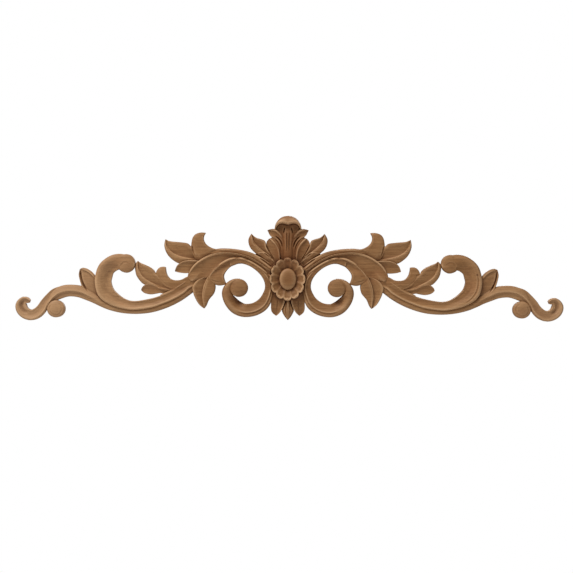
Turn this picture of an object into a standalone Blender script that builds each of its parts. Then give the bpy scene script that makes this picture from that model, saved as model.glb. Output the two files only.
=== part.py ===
"""Carved wood applique: a long symmetrical spray of acanthus scrolls about a rosette.

Metres, +Z up. The carved front faces -Y and the flat back lies on y = 0, with the
origin on the back behind the rosette's centre. The whole thing is one piece of wood.

The plan is drawn in plan units of one millimetre, for one wing: x runs outward from the
axis of symmetry, z upward, and relief is the height above the back. Every scroll and
leaf is a ribbon: a section carried along a rib between two edges. The carver let the
wing at +X run out a little longer than the other.
"""

import math
from dataclasses import dataclass

import bmesh
import bpy
from mathutils import Vector

UNIT = 0.001
OVERALL_LENGTH = 0.547
LONGER_SIDE = 1
LONGER_BEYOND = 145.0
LONGER_BY = 0.025

SPLINE_STEPS = 16
STATION_STEP = 15.0
TURN_STEP = math.radians(34.0)
FEWEST_STATIONS = 5
TIP_CUT = 0.985
NARROW = 2.0
BURIED_DEPTH = 1.0
DEPTH_STEP = 0.05
SHARP_ANGLE = math.radians(28.0)
WELD = 1e-6

PLANING_DEPTH = 0.05
PLANING_LENGTH = 1.2 * OVERALL_LENGTH
PLANING_HEIGHT = 0.5 * OVERALL_LENGTH

BALL_SEGMENTS = 16
DOME_SEGMENTS = 24
DOME_RINGS = 4

PETALS = 12
PETAL_ROOT = 0.25
PETAL_SPREAD = 1.05
FLOWER_HALF_WIDTH = 18.2
FLOWER_HALF_HEIGHT = 21.4
FLOWER_FLOOR = 9.4
FLOWER_RIM = 12.8
FLOWER_DOME = 14.2
DOME_HALF_WIDTH = 8.6
DOME_HALF_HEIGHT = 10.8

WOOD_COLOR = (0.238, 0.125, 0.058, 1.0)
WOOD_ROUGHNESS = 0.62

# A section lists (place across, share of the crest): -1 is the left edge, 0 the rib and
# 1 the right edge, seen by someone walking along the ribbon.
SECTIONS = {
    "scroll": ((-1, 0.84), (-0.5, 0.74), (0.1, 0.90), (0.34, 1.0), (0.44, 0.79), (0.8, 0.81), (1, 0.64)),
    "cove": ((-1, 0.80), (-0.4, 0.73), (0.2, 0.86), (0.62, 1.0), (1, 0.82)),
    "crest": ((-1, 0.66), (-0.3, 0.82), (0, 1.0), (0.6, 0.90), (1, 0.70)),
    "round": ((-1, 0.80), (-0.5, 0.96), (0, 1.0), (0.5, 0.96), (1, 0.80)),
    "fold": ((-1, 0.76), (-0.5, 0.74), (-0.08, 0.66), (0.04, 1.0), (0.5, 0.88), (1, 0.72)),
    "cup": ((-1, 0.95), (-0.75, 1.0), (0, 0.78), (0.8, 0.80), (1, 0.86)),
    "petal": ((-1, 1.0), (-0.6, 0.86), (0, 0.80), (0.6, 0.86), (1, 1.0)),
}


@dataclass(frozen=True)
class Stem:
    """A ribbon of even sides: rows of (x, z, half width, crest) along its middle."""

    name: str
    section: str
    rows: tuple

    def curves(self, count):
        """Return the rib, both edges and the crest at evenly spaced stations."""
        path = spline(self.rows, count)
        rib, left, right, crest = [], [], [], []
        for index, (x, z, half, top) in enumerate(path):
            before = path[max(index - 1, 0)]
            after = path[min(index + 1, count - 1)]
            along = Vector((after[0] - before[0], after[1] - before[1])).normalized()
            aside = Vector((-along.y, along.x)) * half
            rib.append((x, z))
            left.append((x + aside.x, z + aside.y))
            right.append((x - aside.x, z - aside.y))
            crest.append(top)
        return rib, left, right, crest

    def lines(self):
        """Return the lines that the ribbon follows."""
        return (self.rows,)


@dataclass(frozen=True)
class Leaf:
    """A ribbon with an outline of its own on each side of its rib, ending in a tip."""

    name: str
    section: str
    rib: tuple
    left: tuple
    right: tuple
    crests: tuple

    def curves(self, count):
        """Return the rib, both edges and the crest at evenly spaced stations."""
        shares = [index / (count - 1) * TIP_CUT for index in range(count)]
        rib = spline_at(self.rib, shares)
        left = spline_at(self.left, shares)
        right = spline_at(self.right, shares)
        crest = [ramp(self.crests, share) for share in shares]
        return rib, left, right, crest

    def lines(self):
        """Return the lines that the ribbon follows."""
        return (self.rib, self.left, self.right)


@dataclass(frozen=True)
class Ball:
    """A flattened ball: its centre, half width, half height, edge and top relief."""

    name: str
    x: float
    z: float
    half_width: float
    half_height: float
    edge: float
    top: float


WING = (
    Stem("inner_scroll", "scroll", (
        (58, 15.8, 3.4, 9.6), (48, 18.0, 2.5, 10.0), (38, 15.4, 2.4, 10.2), (28.6, 9.1, 2.5, 10.4),
        (21.5, 1.5, 3.5, 10.0), (18.7, -6.7, 4.2, 9.6), (19.8, -14.6, 4.8, 9.4), (24.2, -24.0, 6.3, 9.4),
        (32.3, -29.7, 6.5, 9.6), (42.5, -31.4, 6.6, 9.8), (50.6, -28.6, 6.9, 9.8), (56.5, -23.2, 6.4, 9.6),
        (60.4, -17.0, 5.2, 9.4), (61.2, -11.3, 4.2, 9.2), (58.6, -5.4, 2.9, 9.0), (53.6, -1.5, 1.6, 8.8))),
    Ball("inner_ball", 48.0, -9.2, 8.9, 8.9, 8.0, 11.5),
    Stem("outer_scroll", "cove", (
        (88, -0.4, 5, 7.0), (100, -6.0, 4.4, 8.0), (116.8, -17.1, 4.6, 9.0), (137, -24.5, 4.7, 9.4),
        (152.5, -26.7, 4.5, 9.6), (162.7, -25.4, 4.9, 9.6), (173.1, -20.8, 6.6, 9.8),
        (181.5, -13.6, 8.1, 10.0), (184.5, -3.7, 8.0, 10.0), (183.3, 5.3, 8.1, 9.8), (180.0, 10.8, 8.0, 9.8),
        (174.5, 15.4, 8.0, 9.8), (168, 17.2, 7.8, 9.6), (161.6, 18.4, 5.8, 9.4), (156.5, 17.0, 3.9, 9.2),
        (153.9, 13.4, 2.3, 9.0))),
    Ball("outer_ball", 161.1, 12.6, 6.9, 6.9, 8.0, 10.8),
    Stem("tail_stem", "crest", (
        (92, -8.0, 2.8, 6.2), (106.6, -18.9, 2.2, 6.4), (127, -28.6, 2.2, 6.8), (147.4, -32.7, 2.0, 6.8),
        (167.8, -31.6, 2.0, 7.0), (186, -24.7, 3.3, 7.6), (199.3, -16.6, 5.3, 8.2), (214, -12.0, 6.0, 8.2),
        (227.5, -14.0, 5.9, 8.2), (234.5, -19.0, 4.4, 8.2), (238.6, -26.0, 2.2, 8.0))),
    Ball("tail_ball", 231.4, -30.1, 8.9, 8.6, 6.6, 9.4),
    Stem("tail_hook", "cove", (
        (226, -10.3, 3.0, 7.0), (238.5, -18.8, 3.8, 7.8), (246, -30, 4.9, 7.8), (250.5, -34.4, 5.2, 7.8),
        (256.1, -36.4, 5.3, 7.8), (261.7, -34.8, 5.5, 7.8), (265.5, -30.8, 5.7, 7.8),
        (266.2, -26.1, 5.4, 7.6), (263.9, -21.8, 4.0, 7.4), (259.6, -20.9, 2.0, 7.2))),
    Stem("arch_top", "round", (
        (16, 9.4, 2.8, 9.0), (26, 17.7, 3.0, 9.0), (38, 23.8, 3.0, 8.8), (50, 26.8, 2.8, 8.6),
        (62, 27.9, 2.7, 8.4), (74, 26.6, 4.4, 8.0), (84, 24.5, 6.0, 7.6))),
    Leaf("arch_leaf", "cup",
         ((17.6, 6), (28.5, 14.4), (40.6, 20.8), (52.5, 23.4), (64.5, 22.6), (75, 17.8), (83.5, 10.8),
          (90, 4), (96.5, -2.6)),
         ((17.6, 9), (29.6, 17.5), (42.6, 23.6), (55.5, 26.2), (67.5, 26.5), (79.6, 23.5), (89.9, 17.4),
          (96.8, 9.7), (100.1, 1.5), (96.5, -2.6)),
         ((17.6, 3), (27.1, 10.7), (38.3, 17.5), (48.6, 20.6), (58.9, 19.3), (69.3, 13.1), (76.2, 6.2),
          (81.5, 1.1), (88.2, -1.4), (96.5, -2.6)),
         (10.6, 10.6, 10.4, 10.0, 9.6, 9.0, 8.4)),
    Leaf("curl_leaf", "cup",
         ((40, 17.8), (50, 18.3), (58, 16.5), (65.5, 11.5), (69.5, 5), (69, -1), (61.2, -5.3)),
         ((40, 19.6), (48.6, 20.6), (58.9, 19.3), (69.3, 13.1), (76, 6.2), (77.8, 0.8), (74.8, -4.6),
          (68.4, -6.6), (61.2, -5.3)),
         ((40, 16), (46.9, 15.4), (51.2, 15), (57.2, 12.3), (61.5, 8), (63.7, 3.7), (61.2, -5.3)),
         (10.6, 10.4, 10.0, 9.6, 9.2, 8.6)),
    Leaf("hanging_leaf", "fold",
         ((70, 13), (76.2, 6.2), (80.5, -0.6), (83.5, -8.4), (84.8, -17.9), (83.6, -29.6)),
         ((66, 6.6), (74, 1.6), (72.3, -5.8), (74.4, -15.3), (78.7, -20.5), (81.3, -26.5), (83.6, -29.6)),
         ((82, 6), (91.5, -0.4), (95.2, -7.4), (92.8, -18.4), (88.8, -25.3), (83.6, -29.6)),
         (10.2, 9.6, 9.0, 8.6, 7.4)),
    Leaf("upper_leaf", "fold",
         ((82, 18.5), (97.2, 19.6), (107.4, 21.8), (115, 25.3), (120.7, 30.9), (122.4, 39.6)),
         ((84, 30), (96.7, 32.5), (100.2, 35.5), (107.4, 36.6), (117.6, 37.6), (122.4, 39.6)),
         ((84, 10), (98, 11.5), (109.4, 15.1), (116.6, 20.2), (121.2, 25.8), (123.5, 33.0), (122.4, 39.6)),
         (8.0, 8.8, 8.8, 8.4, 7.6)),
    Leaf("upper_curl", "cup",
         ((80, 22), (87, 30.6), (90.3, 37.6), (88.6, 42.8), (82.1, 46.1)),
         ((98, 22), (96.5, 30.5), (96.4, 35.5), (95.1, 41.3), (92.1, 44.8), (82.1, 46.1)),
         ((62, 28), (66.6, 29.0), (74.2, 30.0), (80.9, 34.1), (83.9, 38.7), (82.1, 46.1)),
         (8.0, 8.2, 8.2, 8.0, 7.2)),
    Leaf("upper_lobe", "cup",
         ((92, 14), (99, 12.5), (105, 11), (113, 7.5)),
         ((94, 20), (102.3, 17.7), (107.4, 15.1), (111, 12.6), (113, 7.5)),
         ((90, 8.4), (99.2, 5.7), (107.4, 5.9), (113, 7.5)),
         (8.0, 7.8, 7.4, 6.6)),
    Leaf("inner_leaf", "fold",
         ((96, -3), (106, -7.5), (116.8, -10.6), (127, -8.9), (137.2, -3.9), (146.4, 3.2), (149.4, 9.8),
          (149.9, 18.0)),
         ((96, 3.6), (106.6, -0.8), (122, 1), (132.1, 5.8), (137.2, 11.4), (149.9, 18.0)),
         ((98, -8), (108, -12), (118, -16), (127, -14), (138, -8.6), (147.4, -2.4), (151, 2.7), (152.2, 9),
          (149.9, 18.0)),
         (7.6, 7.8, 7.8, 7.8, 7.6, 7.0)),
    Leaf("inner_curl", "cup",
         ((112, -8), (119, -3.5), (124.6, 1.8), (126.4, 7), (122.1, 12)),
         ((130, -6), (131.8, 5.8), (128, 11.5), (122.1, 12)),
         ((100, 1), (106.6, -0.8), (112.7, -1.3), (117.3, 0.2), (120.3, 3.8), (122.1, 12)),
         (7.0, 7.2, 7.2, 7.0, 6.4)),
    Leaf("inner_lobe", "cup",
         ((124, -11.5), (132, -9.5), (140, -9.5), (146.6, -11.3)),
         ((122, -8), (132, -5.5), (138.2, -4.5), (142.8, -6), (146.6, -11.3)),
         ((120, -16.5), (127, -14.3), (137.2, -15.4), (143.3, -14.2), (146.6, -11.3)),
         (7.0, 7.0, 6.8, 6.2)),
    Leaf("tail_leaf", "fold",
         ((194, -20), (199.4, -13.3), (203.5, -6.7), (206.1, -0.1), (207.7, 9.6)),
         ((182, -17.7), (188, -6.7), (191, 0.3), (195.3, 6.1), (200.4, 9.6), (207.7, 9.6)),
         ((200, -19), (204.5, -11), (206.8, -5), (208.2, 0), (207.7, 9.6)),
         (7.6, 7.6, 7.4, 7.2, 6.8)),
    Leaf("crown_outer", "fold",
         ((12, 16), (20.7, 25.2), (26.8, 28.9), (32.8, 33.7), (36.2, 37.9), (36.5, 45.2)),
         ((12, 22), (22.5, 37.3), (28, 39.8), (34.1, 42.8), (36.5, 45.2)),
         ((18, 16), (32.8, 25.8), (36.5, 29.5), (38.9, 34.9), (39.2, 39.8), (36.5, 45.2)),
         (9.0, 9.0, 8.8, 8.4, 7.6)),
    Leaf("crown_lower", "cup",
         ((12, 12), (18, 18), (25, 23.4), (32.2, 24.6)),
         ((12, 16), (17.7, 22.2), (21.9, 25.8), (25.6, 27), (32.2, 24.6)),
         ((13, 10), (21.9, 17.3), (28, 21.6), (32.2, 24.6)),
         (9.0, 8.8, 8.2, 7.4)),
    Leaf("crown_middle", "cup",
         ((10, 16), (14, 24), (17, 32), (18.7, 40.3)),
         ((6.5, 14), (8.3, 21.1), (11, 32), (18.7, 40.3)),
         ((14, 16), (19.5, 27.8), (21.9, 33.8), (21.0, 37.2), (18.7, 40.3)),
         (9.6, 9.6, 9.2, 8.4)),
    Leaf("crown_inner", "cup",
         ((2, 14), (3.5, 22), (8, 34), (12, 40), (20.4, 47.1)),
         ((-1, 16), (0.6, 30), (6, 45), (11, 48.2), (15, 49.9), (20.4, 47.1)),
         ((6, 14), (8.3, 21.1), (11.2, 33), (15, 40.5), (18, 42.4), (20.4, 47.1)),
         (8.4, 8.8, 9.2, 9.2, 8.0)),
    Stem("crown_hood", "round", (
        (13.2, 47.5, 1.0, 9.0), (11.2, 52, 2.4, 10.5), (8.3, 55.6, 3.6, 12.0), (4.4, 58.0, 4.4, 12.8),
        (-1, 58.8, 4.6, 13.0))),
    Leaf("drop_side", "cup",
         ((10, -14), (10.5, -24), (11, -30), (11.7, -36.7)),
         ((4, -14), (3.6, -22), (6.2, -30.5), (11.7, -36.7)),
         ((17, -14), (16.5, -24.3), (16.3, -29.5), (11.7, -36.7)),
         (8.6, 8.4, 8.0, 7.0)),
)

MIDDLE = (
    Leaf("crown_floor", "round",
         ((0, 10), (0, 30), (0, 45), (0, 60)),
         ((-12, 10), (-20, 30), (-17, 41), (-12.4, 49), (-10.6, 56), (0, 60)),
         ((12, 10), (20, 30), (17, 41), (12.4, 49), (10.6, 56), (0, 60)),
         (7.5, 7.6, 7.6, 7.4)),
    Leaf("drop_middle", "round",
         ((0, -16), (0, -24), (0, -32), (0, -41)),
         ((-1.5, -16), (-1.8, -23), (-5.2, -31), (0, -41)),
         ((1.5, -16), (1.8, -23), (5.2, -31), (0, -41)),
         (8.4, 8.4, 8.2, 7.0)),
)


def path_length(points):
    """Return the length in plan of the run of straight lines through the points."""
    steps = zip(points, points[1:])
    return sum(math.hypot(b[0] - a[0], b[1] - a[1]) for a, b in steps)


def path_turning(points):
    """Return the sum of the angles by which the line through the points turns."""
    headings = [math.atan2(b[1] - a[1], b[0] - a[0]) for a, b in zip(points, points[1:])]
    return sum(abs(math.remainder(b - a, math.tau)) for a, b in zip(headings, headings[1:]))


def station_count(lines):
    """Return how many stations the longest or most curled of the lines needs."""
    needs = (path_length(line) / STATION_STEP + path_turning(line) / TURN_STEP for line in lines)
    return max(FEWEST_STATIONS, round(max(needs)) + 1)


def spline_point(before, start, end, after, share):
    """Return the Catmull-Rom point between start and end."""
    square = share * share
    cube = square * share
    found = []
    for a, b, c, d in zip(before, start, end, after):
        bend = (2 * a - 5 * b + 4 * c - d) * square
        twist = (3 * b - a - 3 * c + d) * cube
        found.append(0.5 * (2 * b + (c - a) * share + bend + twist))
    return tuple(found)


def spline_at(points, shares):
    """Return points on a smooth curve through the given ones, at shares of its length."""
    fine = []
    last = len(points) - 1
    for index in range(last):
        before = points[max(index - 1, 0)]
        after = points[min(index + 2, last)]
        for step in range(SPLINE_STEPS):
            share = step / SPLINE_STEPS
            fine.append(spline_point(before, points[index], points[index + 1], after, share))
    fine.append(tuple(points[last]))
    run = [0.0]
    for a, b in zip(fine, fine[1:]):
        run.append(run[-1] + math.hypot(b[0] - a[0], b[1] - a[1]))
    found = []
    at = 0
    for share in shares:
        goal = share * run[-1]
        while at < len(run) - 2 and run[at + 1] < goal:
            at += 1
        part = (goal - run[at]) / max(run[at + 1] - run[at], 1e-9)
        found.append(tuple(a + (b - a) * part for a, b in zip(fine[at], fine[at + 1])))
    return found


def spline(points, count):
    """Return evenly spaced points on a smooth curve through the given ones."""
    return spline_at(points, [index / (count - 1) for index in range(count)])


def ramp(values, share):
    """Return the value at a share of the way through evenly spaced values."""
    place = share * (len(values) - 1)
    index = min(int(place), len(values) - 2)
    return values[index] + (values[index + 1] - values[index]) * (place - index)


def wood_material():
    """Return the bare sanded wood."""
    material = bpy.data.materials.new("carved_wood")
    material.use_nodes = True
    shader = material.node_tree.nodes["Principled BSDF"]
    shader.inputs["Base Color"].default_value = WOOD_COLOR
    shader.inputs["Roughness"].default_value = WOOD_ROUGHNESS
    shader.inputs["Metallic"].default_value = 0.0
    return material


def add_object(name, mesh, collection):
    """Link a new object for a mesh and return it."""
    item = bpy.data.objects.new(name, mesh)
    collection.objects.link(item)
    return item


def loft(name, loops, collection):
    """Make a closed solid through like loops of points, capped at both ends."""
    shape = bmesh.new()
    rings = [[shape.verts.new(Vector(point) * UNIT) for point in loop] for loop in loops]
    size = len(rings[0])
    for near, far in zip(rings, rings[1:]):
        for index in range(size):
            beyond = (index + 1) % size
            shape.faces.new((near[index], near[beyond], far[beyond], far[index]))
    for ring in (rings[0], rings[-1]):
        for index in range(size // 2 - 1):
            shape.faces.new((ring[index], ring[index + 1], ring[size - 2 - index], ring[size - 1 - index]))
    bmesh.ops.recalc_face_normals(shape, faces=shape.faces)
    mesh = bpy.data.meshes.new(name)
    shape.to_mesh(mesh)
    shape.free()
    return add_object(name, mesh, collection)


def side_x(x, side):
    """Return the x of a plan point on one wing, a little further out on the longer one."""
    if side == LONGER_SIDE:
        x += LONGER_BY * max(0.0, x - LONGER_BEYOND)
    return side * x


def ribbon_loops(ribbon, side, depth):
    """Return the ribbon's cross-sections, from one end to the other.

    Args:
        ribbon: a Stem or a Leaf.
        side: 1 for the wing at +X and -1 for its mirror image.
        depth: how far the solid reaches behind the back before that is planed flat.

    Returns:
        A list of loops of (x, y, z) points in plan units.
    """
    count = station_count(ribbon.lines())
    profile = SECTIONS[ribbon.section]
    edge_share = min(profile[0][1], profile[-1][1])
    loops = []
    for rib, left, right, crest in zip(*ribbon.curves(count)):
        width = math.dist(rib, left) + math.dist(rib, right)
        fullness = min(1.0, width / NARROW)
        loop = []
        for across, share in profile:
            edge = left if across < 0 else right
            reach = abs(across)
            relief = crest * (edge_share + (share - edge_share) * fullness)
            x = rib[0] + (edge[0] - rib[0]) * reach
            z = rib[1] + (edge[1] - rib[1]) * reach
            loop.append((side_x(x, side), -relief, z))
        loop.extend((x, depth, z) for x, _, z in reversed(list(loop)))
        loops.append(loop)
    return loops


def petal(index):
    """Return one hollow petal of the rosette as a Leaf."""
    turn = 2 * math.pi * index / PETALS
    half_turn = math.pi / PETALS

    def at(reach, aside):
        angle = turn + aside * half_turn
        return (FLOWER_HALF_WIDTH * reach * math.sin(angle), FLOWER_HALF_HEIGHT * reach * math.cos(angle))

    def edge(side):
        aside = side * PETAL_SPREAD
        return (at(PETAL_ROOT, aside), at(0.6, aside), at(0.88, aside),
                at(0.97, 0.75 * side), at(1.0, 0.12 * side))

    return Leaf(
        f"petal_{index}", "petal",
        (at(PETAL_ROOT, 0), at(0.6, 0), at(0.85, 0), at(1.0, 0)),
        edge(-1), edge(1),
        (FLOWER_FLOOR, FLOWER_FLOOR + 0.8, FLOWER_RIM, FLOWER_RIM))


def turned_dome(ball, side, depth, segments, collection):
    """Turn a flattened ball about its own axis, which runs along Y."""
    profile = bmesh.new()
    corners = [(0.0, -ball.top), (1.0, depth), (0.0, depth)]
    for ring in range(1, DOME_RINGS + 1):
        angle = ring / DOME_RINGS * math.pi / 2
        relief = ball.edge + (ball.top - ball.edge) * math.cos(angle)
        corners.insert(ring, (math.sin(angle), -relief))
    verts = [profile.verts.new((reach * UNIT, y * UNIT, 0.0)) for reach, y in corners]
    for near, far in zip(verts, verts[1:]):
        profile.edges.new((near, far))
    mesh = bpy.data.meshes.new(ball.name)
    profile.to_mesh(mesh)
    profile.free()
    item = add_object(ball.name, mesh, collection)
    screw = item.modifiers.new("turn", "SCREW")
    screw.axis = "Y"
    screw.steps = segments
    screw.render_steps = segments
    screw.use_merge_vertices = True
    screw.merge_threshold = WELD
    solid = bpy.data.meshes.new_from_object(item.evaluated_get(bpy.context.evaluated_depsgraph_get()))
    bpy.data.objects.remove(item)
    body = bmesh.new()
    body.from_mesh(solid)
    bmesh.ops.remove_doubles(body, verts=body.verts, dist=WELD)
    for vert in body.verts:
        vert.co.x = vert.co.x * ball.half_width + side_x(ball.x, side) * UNIT
        vert.co.z = vert.co.z * ball.half_height + ball.z * UNIT
    bmesh.ops.recalc_face_normals(body, faces=body.faces)
    body.to_mesh(solid)
    body.free()
    return add_object(ball.name, solid, collection)


def carve_elements(collection):
    """Make every scroll, leaf, ball and petal as an overlapping solid of its own."""
    solids = []

    def depth():
        return BURIED_DEPTH + DEPTH_STEP * len(solids)

    for side in (1, -1):
        for element in WING:
            if isinstance(element, Ball):
                solids.append(turned_dome(element, side, depth(), BALL_SEGMENTS, collection))
            else:
                solids.append(loft(element.name, ribbon_loops(element, side, depth()), collection))
    for element in MIDDLE + tuple(petal(index) for index in range(PETALS)):
        solids.append(loft(element.name, ribbon_loops(element, 1, depth()), collection))
    dome = Ball("flower_dome", 0, 0, DOME_HALF_WIDTH, DOME_HALF_HEIGHT, FLOWER_FLOOR, FLOWER_DOME)
    solids.append(turned_dome(dome, 1, depth(), DOME_SEGMENTS, collection))
    return solids


def planing_block(collection):
    """Make the block that planes the back flat on y = 0."""
    shape = bmesh.new()
    bmesh.ops.create_cube(shape, size=1.0)
    bmesh.ops.scale(shape, vec=(PLANING_LENGTH, PLANING_DEPTH, PLANING_HEIGHT), verts=shape.verts)
    bmesh.ops.translate(shape, vec=(0, PLANING_DEPTH / 2, 0), verts=shape.verts)
    mesh = bpy.data.meshes.new("planing_block")
    shape.to_mesh(mesh)
    shape.free()
    return add_object("planing_block", mesh, collection)


def hide_as_cutter(item):
    """Mark an object as a construction solid and not as a part."""
    item.hide_render = True
    item.display_type = "WIRE"


def add_boolean(item, name, operation, operand):
    """Add one exact Boolean with an object or a collection as its operand."""
    modifier = item.modifiers.new(name, "BOOLEAN")
    modifier.operation = operation
    modifier.solver = "EXACT"
    if isinstance(operand, bpy.types.Collection):
        modifier.operand_type = "COLLECTION"
        modifier.collection = operand
    else:
        modifier.object = operand


def clear_scene():
    """Remove whatever the new file holds."""
    for item in list(bpy.data.objects):
        bpy.data.objects.remove(item, do_unlink=True)


def main():
    """Build the applique."""
    clear_scene()
    part = bpy.data.collections.new("carved_wood_applique")
    cutters = bpy.data.collections.new("construction")
    elements = bpy.data.collections.new("carved_elements")
    bpy.context.scene.collection.children.link(part)
    bpy.context.scene.collection.children.link(cutters)
    cutters.children.link(elements)

    solids = carve_elements(elements)
    blank = solids.pop()
    elements.objects.unlink(blank)
    part.objects.link(blank)
    blank.name = "carved_applique"
    add_boolean(blank, "join_carving", "UNION", elements)
    block = planing_block(cutters)
    add_boolean(blank, "plane_back", "DIFFERENCE", block)
    for item in solids + [block]:
        hide_as_cutter(item)

    blank.data.materials.append(wood_material())
    for polygon in blank.data.polygons:
        polygon.use_smooth = True
    blank.data.set_sharp_from_angle(angle=SHARP_ANGLE)


main()
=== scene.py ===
"""A carved wood applique: its fine carving, its sanded wood, the light and the camera.

The plan is drawn in millimetres for one wing: x runs outward from the axis of symmetry,
z upward, and relief is the height above the flat back, which lies on y = 0. Every scroll
and leaf is a ribbon, a section carried along a rib between two edges.
"""

from __future__ import annotations

import logging
import math
from dataclasses import dataclass, field
from enum import Enum

import bmesh
import bpy
import numpy as np
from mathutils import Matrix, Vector
from mathutils.bvhtree import BVHTree

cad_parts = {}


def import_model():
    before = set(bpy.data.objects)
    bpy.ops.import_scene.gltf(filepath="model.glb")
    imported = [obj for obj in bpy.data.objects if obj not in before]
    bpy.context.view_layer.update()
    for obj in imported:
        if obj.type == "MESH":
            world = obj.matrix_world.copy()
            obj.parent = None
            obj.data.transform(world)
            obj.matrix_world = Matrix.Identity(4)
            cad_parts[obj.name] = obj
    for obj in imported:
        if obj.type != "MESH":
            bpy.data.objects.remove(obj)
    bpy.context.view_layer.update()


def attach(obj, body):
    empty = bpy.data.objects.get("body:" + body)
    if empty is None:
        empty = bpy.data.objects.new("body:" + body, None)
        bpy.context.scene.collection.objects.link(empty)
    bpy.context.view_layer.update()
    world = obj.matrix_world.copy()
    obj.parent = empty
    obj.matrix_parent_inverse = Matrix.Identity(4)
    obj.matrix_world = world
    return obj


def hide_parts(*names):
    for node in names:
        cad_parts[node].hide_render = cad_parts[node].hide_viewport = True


LOG = logging.getLogger("carved_applique")

MM = 0.001
NODE = "carved_applique"
BODY = "root"
PIECE = "carved_relief"

LONGER_SIDE = 1
LONGER_BEYOND = 145.0
LONGER_BY = 0.025
BOTH_SIDES = (1, -1)

CURVE_STEPS = 24
TINY = 1e-6
BACKWARD = Vector((0, 1, 0))
WHITE = (1.0, 1.0, 1.0, 1.0)

Triple = tuple[float, float, float]


class Section(Enum):
    """Sections of the carving: (place across, share of the crest) from edge to edge.

    Place -1 is the left edge of someone walking along the ribbon, 0 its rib and 1 its
    right edge.
    """

    ARCH = ((-1, 0.86), (-0.7, 0.9), (-0.3, 0.9), (0.2, 0.91), (0.7, 0.95), (1, 1))
    BANK = ((-1, 0.8), (-0.8, 0.84), (-0.45, 0.86), (-0.1, 0.88), (0.2, 0.96), (0.36, 1), (0.46, 0.93),
            (0.54, 0.84), (0.66, 0.84), (0.84, 0.82), (1, 0.72))
    TROUGH = ((-1, 0.78), (-0.85, 0.77), (-0.55, 0.78), (-0.2, 0.84), (0.12, 0.94), (0.28, 1),
              (0.34, 0.99), (0.41, 0.91), (0.48, 0.9), (0.62, 0.94), (0.82, 0.91), (1, 0.8))
    WELL = ((-1, 0.36), (-0.7, 0.42), (-0.4, 0.56), (-0.1, 0.76), (0.2, 0.94), (0.42, 1), (0.7, 0.96),
            (1, 0.8))
    CHANNEL = ((-1, 0.84), (-0.88, 0.85), (-0.6, 0.79), (-0.2, 0.78), (0.2, 0.85), (0.5, 0.95),
               (0.66, 1), (0.82, 0.97), (1, 0.89))
    SWELL = ((-1, 0.82), (-0.6, 0.9), (0, 0.95), (0.5, 0.96), (0.85, 0.99), (1, 0.95))
    RIM = ((-1, 0.985), (0, 1), (1, 0.985))
    SHOULDER = ((-1, 0.8), (-0.7, 0.71), (-0.35, 0.71), (0.05, 0.83), (0.4, 0.96), (0.72, 1), (1, 0.89))
    CREST = ((-1, 0.72), (-0.6, 0.86), (-0.2, 0.97), (-0.02, 1), (0.06, 0.96), (0.22, 0.86), (0.5, 0.78),
             (0.8, 0.78), (1, 0.8))
    CORD = ((-1, 0.9), (-0.5, 0.98), (0, 1), (0.5, 0.96), (1, 0.8))
    FOLD = ((-1, 0.91), (-0.9, 0.93), (-0.6, 0.84), (-0.25, 0.76), (-0.09, 0.75), (0, 0.87), (0.08, 0.94),
            (0.2, 0.93), (0.5, 0.9), (1, 0.82))
    BOWL = ((-1, 0.97), (-0.9, 1), (-0.75, 0.92), (-0.4, 0.84), (-0.12, 0.8), (0, 0.72), (0.15, 0.84),
            (0.5, 0.97), (1, 0.86))
    HOOD = ((-1, 0.62), (-0.8, 0.77), (-0.5, 0.9), (-0.2, 0.97), (0, 0.99), (0.4, 0.97), (1, 0.86))
    STRAP = ((-1, 0.84), (-0.6, 0.95), (0, 1), (0.6, 0.95), (1, 0.84))
    CUP = ((-1, 0.98), (-0.93, 1), (-0.86, 0.93), (-0.6, 0.83), (0, 0.76), (0.5, 0.74), (0.8, 0.76),
           (1, 0.84))
    ROUND = ((-1, 0.8), (-0.5, 0.96), (0, 1), (0.5, 0.96), (1, 0.8))
    PETAL = ((-1, 0.99), (-0.85, 0.975), (-0.6, 0.93), (-0.3, 0.895), (0, 0.88), (0.3, 0.895),
             (0.6, 0.93), (0.85, 0.975), (1, 0.99))

    def shares(self, across: np.ndarray) -> np.ndarray:
        """Read the section at the given places.

        Args:
            across: places from -1 to 1.

        Returns:
            The share of the crest at each place, on a smooth line that never overshoots.
        """
        knots = np.array(self.value, dtype=float)
        x, y = knots[:, 0], knots[:, 1]
        gap = np.diff(x)
        slope = np.diff(y) / gap
        lean = np.zeros(len(y))
        lean[0], lean[-1] = slope[0], slope[-1]
        before, after = slope[:-1], slope[1:]
        same = before * after > 0
        lean[1:-1][same] = 2 * before[same] * after[same] / (before[same] + after[same])
        index = np.clip(np.searchsorted(x, across, side="right") - 1, 0, len(gap) - 1)
        t = (across - x[index]) / gap[index]
        start = (1 + 2 * t) * (1 - t) ** 2 * y[index] + t * (1 - t) ** 2 * gap[index] * lean[index]
        end = t * t * (3 - 2 * t) * y[index + 1] + t * t * (t - 1) * gap[index] * lean[index + 1]
        return start + end


Sections = tuple[tuple[float, Section], ...]


def only(section: Section) -> Sections:
    """Give a ribbon the same section from end to end."""
    return ((0.0, section),)


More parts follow.
